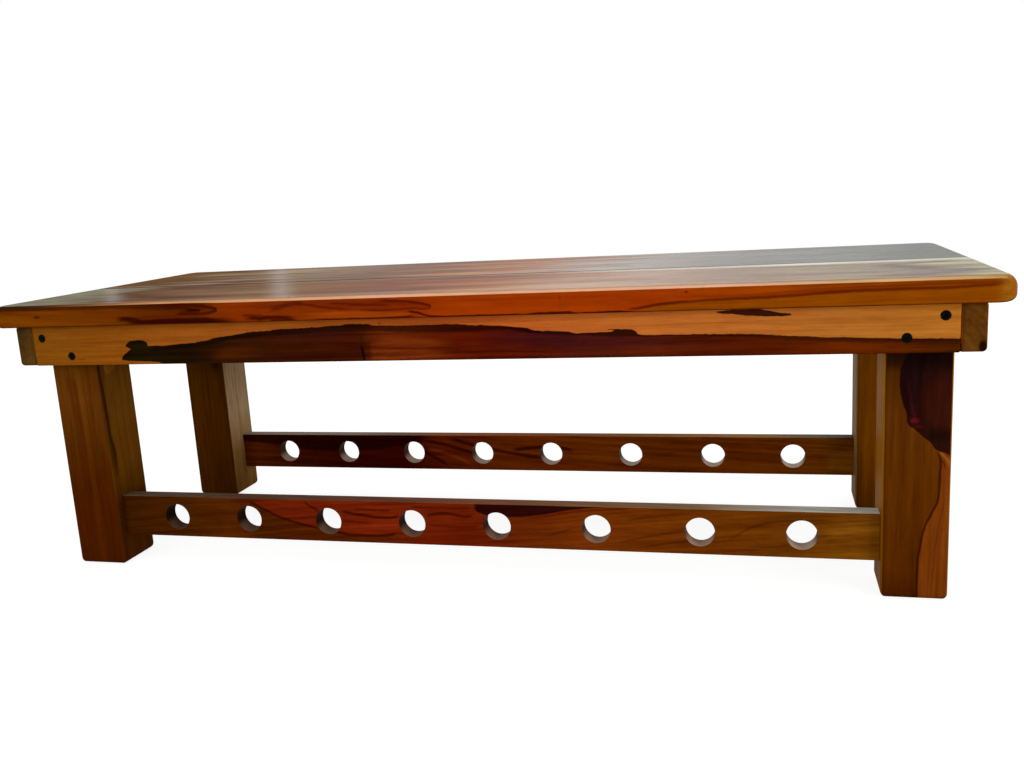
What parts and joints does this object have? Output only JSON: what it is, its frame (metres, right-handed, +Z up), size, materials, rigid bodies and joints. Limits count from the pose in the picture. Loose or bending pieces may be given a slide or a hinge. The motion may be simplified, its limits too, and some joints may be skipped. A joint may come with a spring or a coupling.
{
  "type": "yoga bench",
  "caption": "Low solid-wood yoga bench: two-board seat with rounded ends on square legs, wrapping aprons and lower rails bored with a row of round holes.",
  "frame": {"origin": "on the floor under the middle of the bench", "axes": "+X along the seat to the right, +Y from the front to the rear, +Z up"},
  "size_m": [1.038, 0.4, 0.312],
  "materials": {
    "seat_wood": "glossy clear varnish over orange-brown two-tone hardwood",
    "apron_wood": "satin varnish over pale orange sapwood with dark red-brown heartwood",
    "leg_wood": "satin varnish over brown hardwood",
    "rail_wood": "satin varnish over red-brown hardwood",
    "cleat_wood": "plain planed wood",
    "black_steel": "black phosphated countersunk screw"
  },
  "bodies": {
    "root": {"front_seat_board": "seat_wood", "rear_seat_board": "seat_wood", "front_apron": "apron_wood", "rear_apron": "apron_wood", "left_end_apron": "apron_wood", "right_end_apron": "apron_wood", "front_left_leg": "leg_wood", "front_right_leg": "leg_wood", "rear_left_leg": "leg_wood", "rear_right_leg": "leg_wood", "front_rail": "rail_wood", "rear_rail": "rail_wood", "front_cleat": "cleat_wood", "rear_cleat": "cleat_wood", "left_end_cleat": "cleat_wood", "right_end_cleat": "cleat_wood", "cross_batten": "cleat_wood", "front_apron_screw_1": "black_steel", "front_apron_screw_2": "black_steel", "front_apron_screw_3": "black_steel", "front_apron_screw_4": "black_steel", "rear_apron_screw_1": "black_steel", "rear_apron_screw_2": "black_steel", "rear_apron_screw_3": "black_steel", "rear_apron_screw_4": "black_steel", "left_apron_screw_1": "black_steel", "left_apron_screw_2": "black_steel", "left_apron_screw_3": "black_steel", "left_apron_screw_4": "black_steel", "right_apron_screw_1": "black_steel", "right_apron_screw_2": "black_steel", "right_apron_screw_3": "black_steel", "right_apron_screw_4": "black_steel", "seat_screw_1": "black_steel", "seat_screw_2": "black_steel", "seat_screw_3": "black_steel", "seat_screw_4": "black_steel", "seat_screw_5": "black_steel", "seat_screw_6": "black_steel", "seat_screw_7": "black_steel", "seat_screw_8": "black_steel", "seat_screw_9": "black_steel", "seat_screw_10": "black_steel", "seat_screw_11": "black_steel", "seat_screw_12": "black_steel", "seat_screw_13": "black_steel", "seat_screw_14": "black_steel", "cleat_screw_1": "black_steel", "cleat_screw_2": "black_steel", "cleat_screw_3": "black_steel", "cleat_screw_4": "black_steel", "cleat_screw_5": "black_steel", "cleat_screw_6": "black_steel", "cleat_screw_7": "black_steel", "cleat_screw_8": "black_steel", "cleat_screw_9": "black_steel", "cleat_screw_10": "black_steel"}
  },
  "joints": []
}
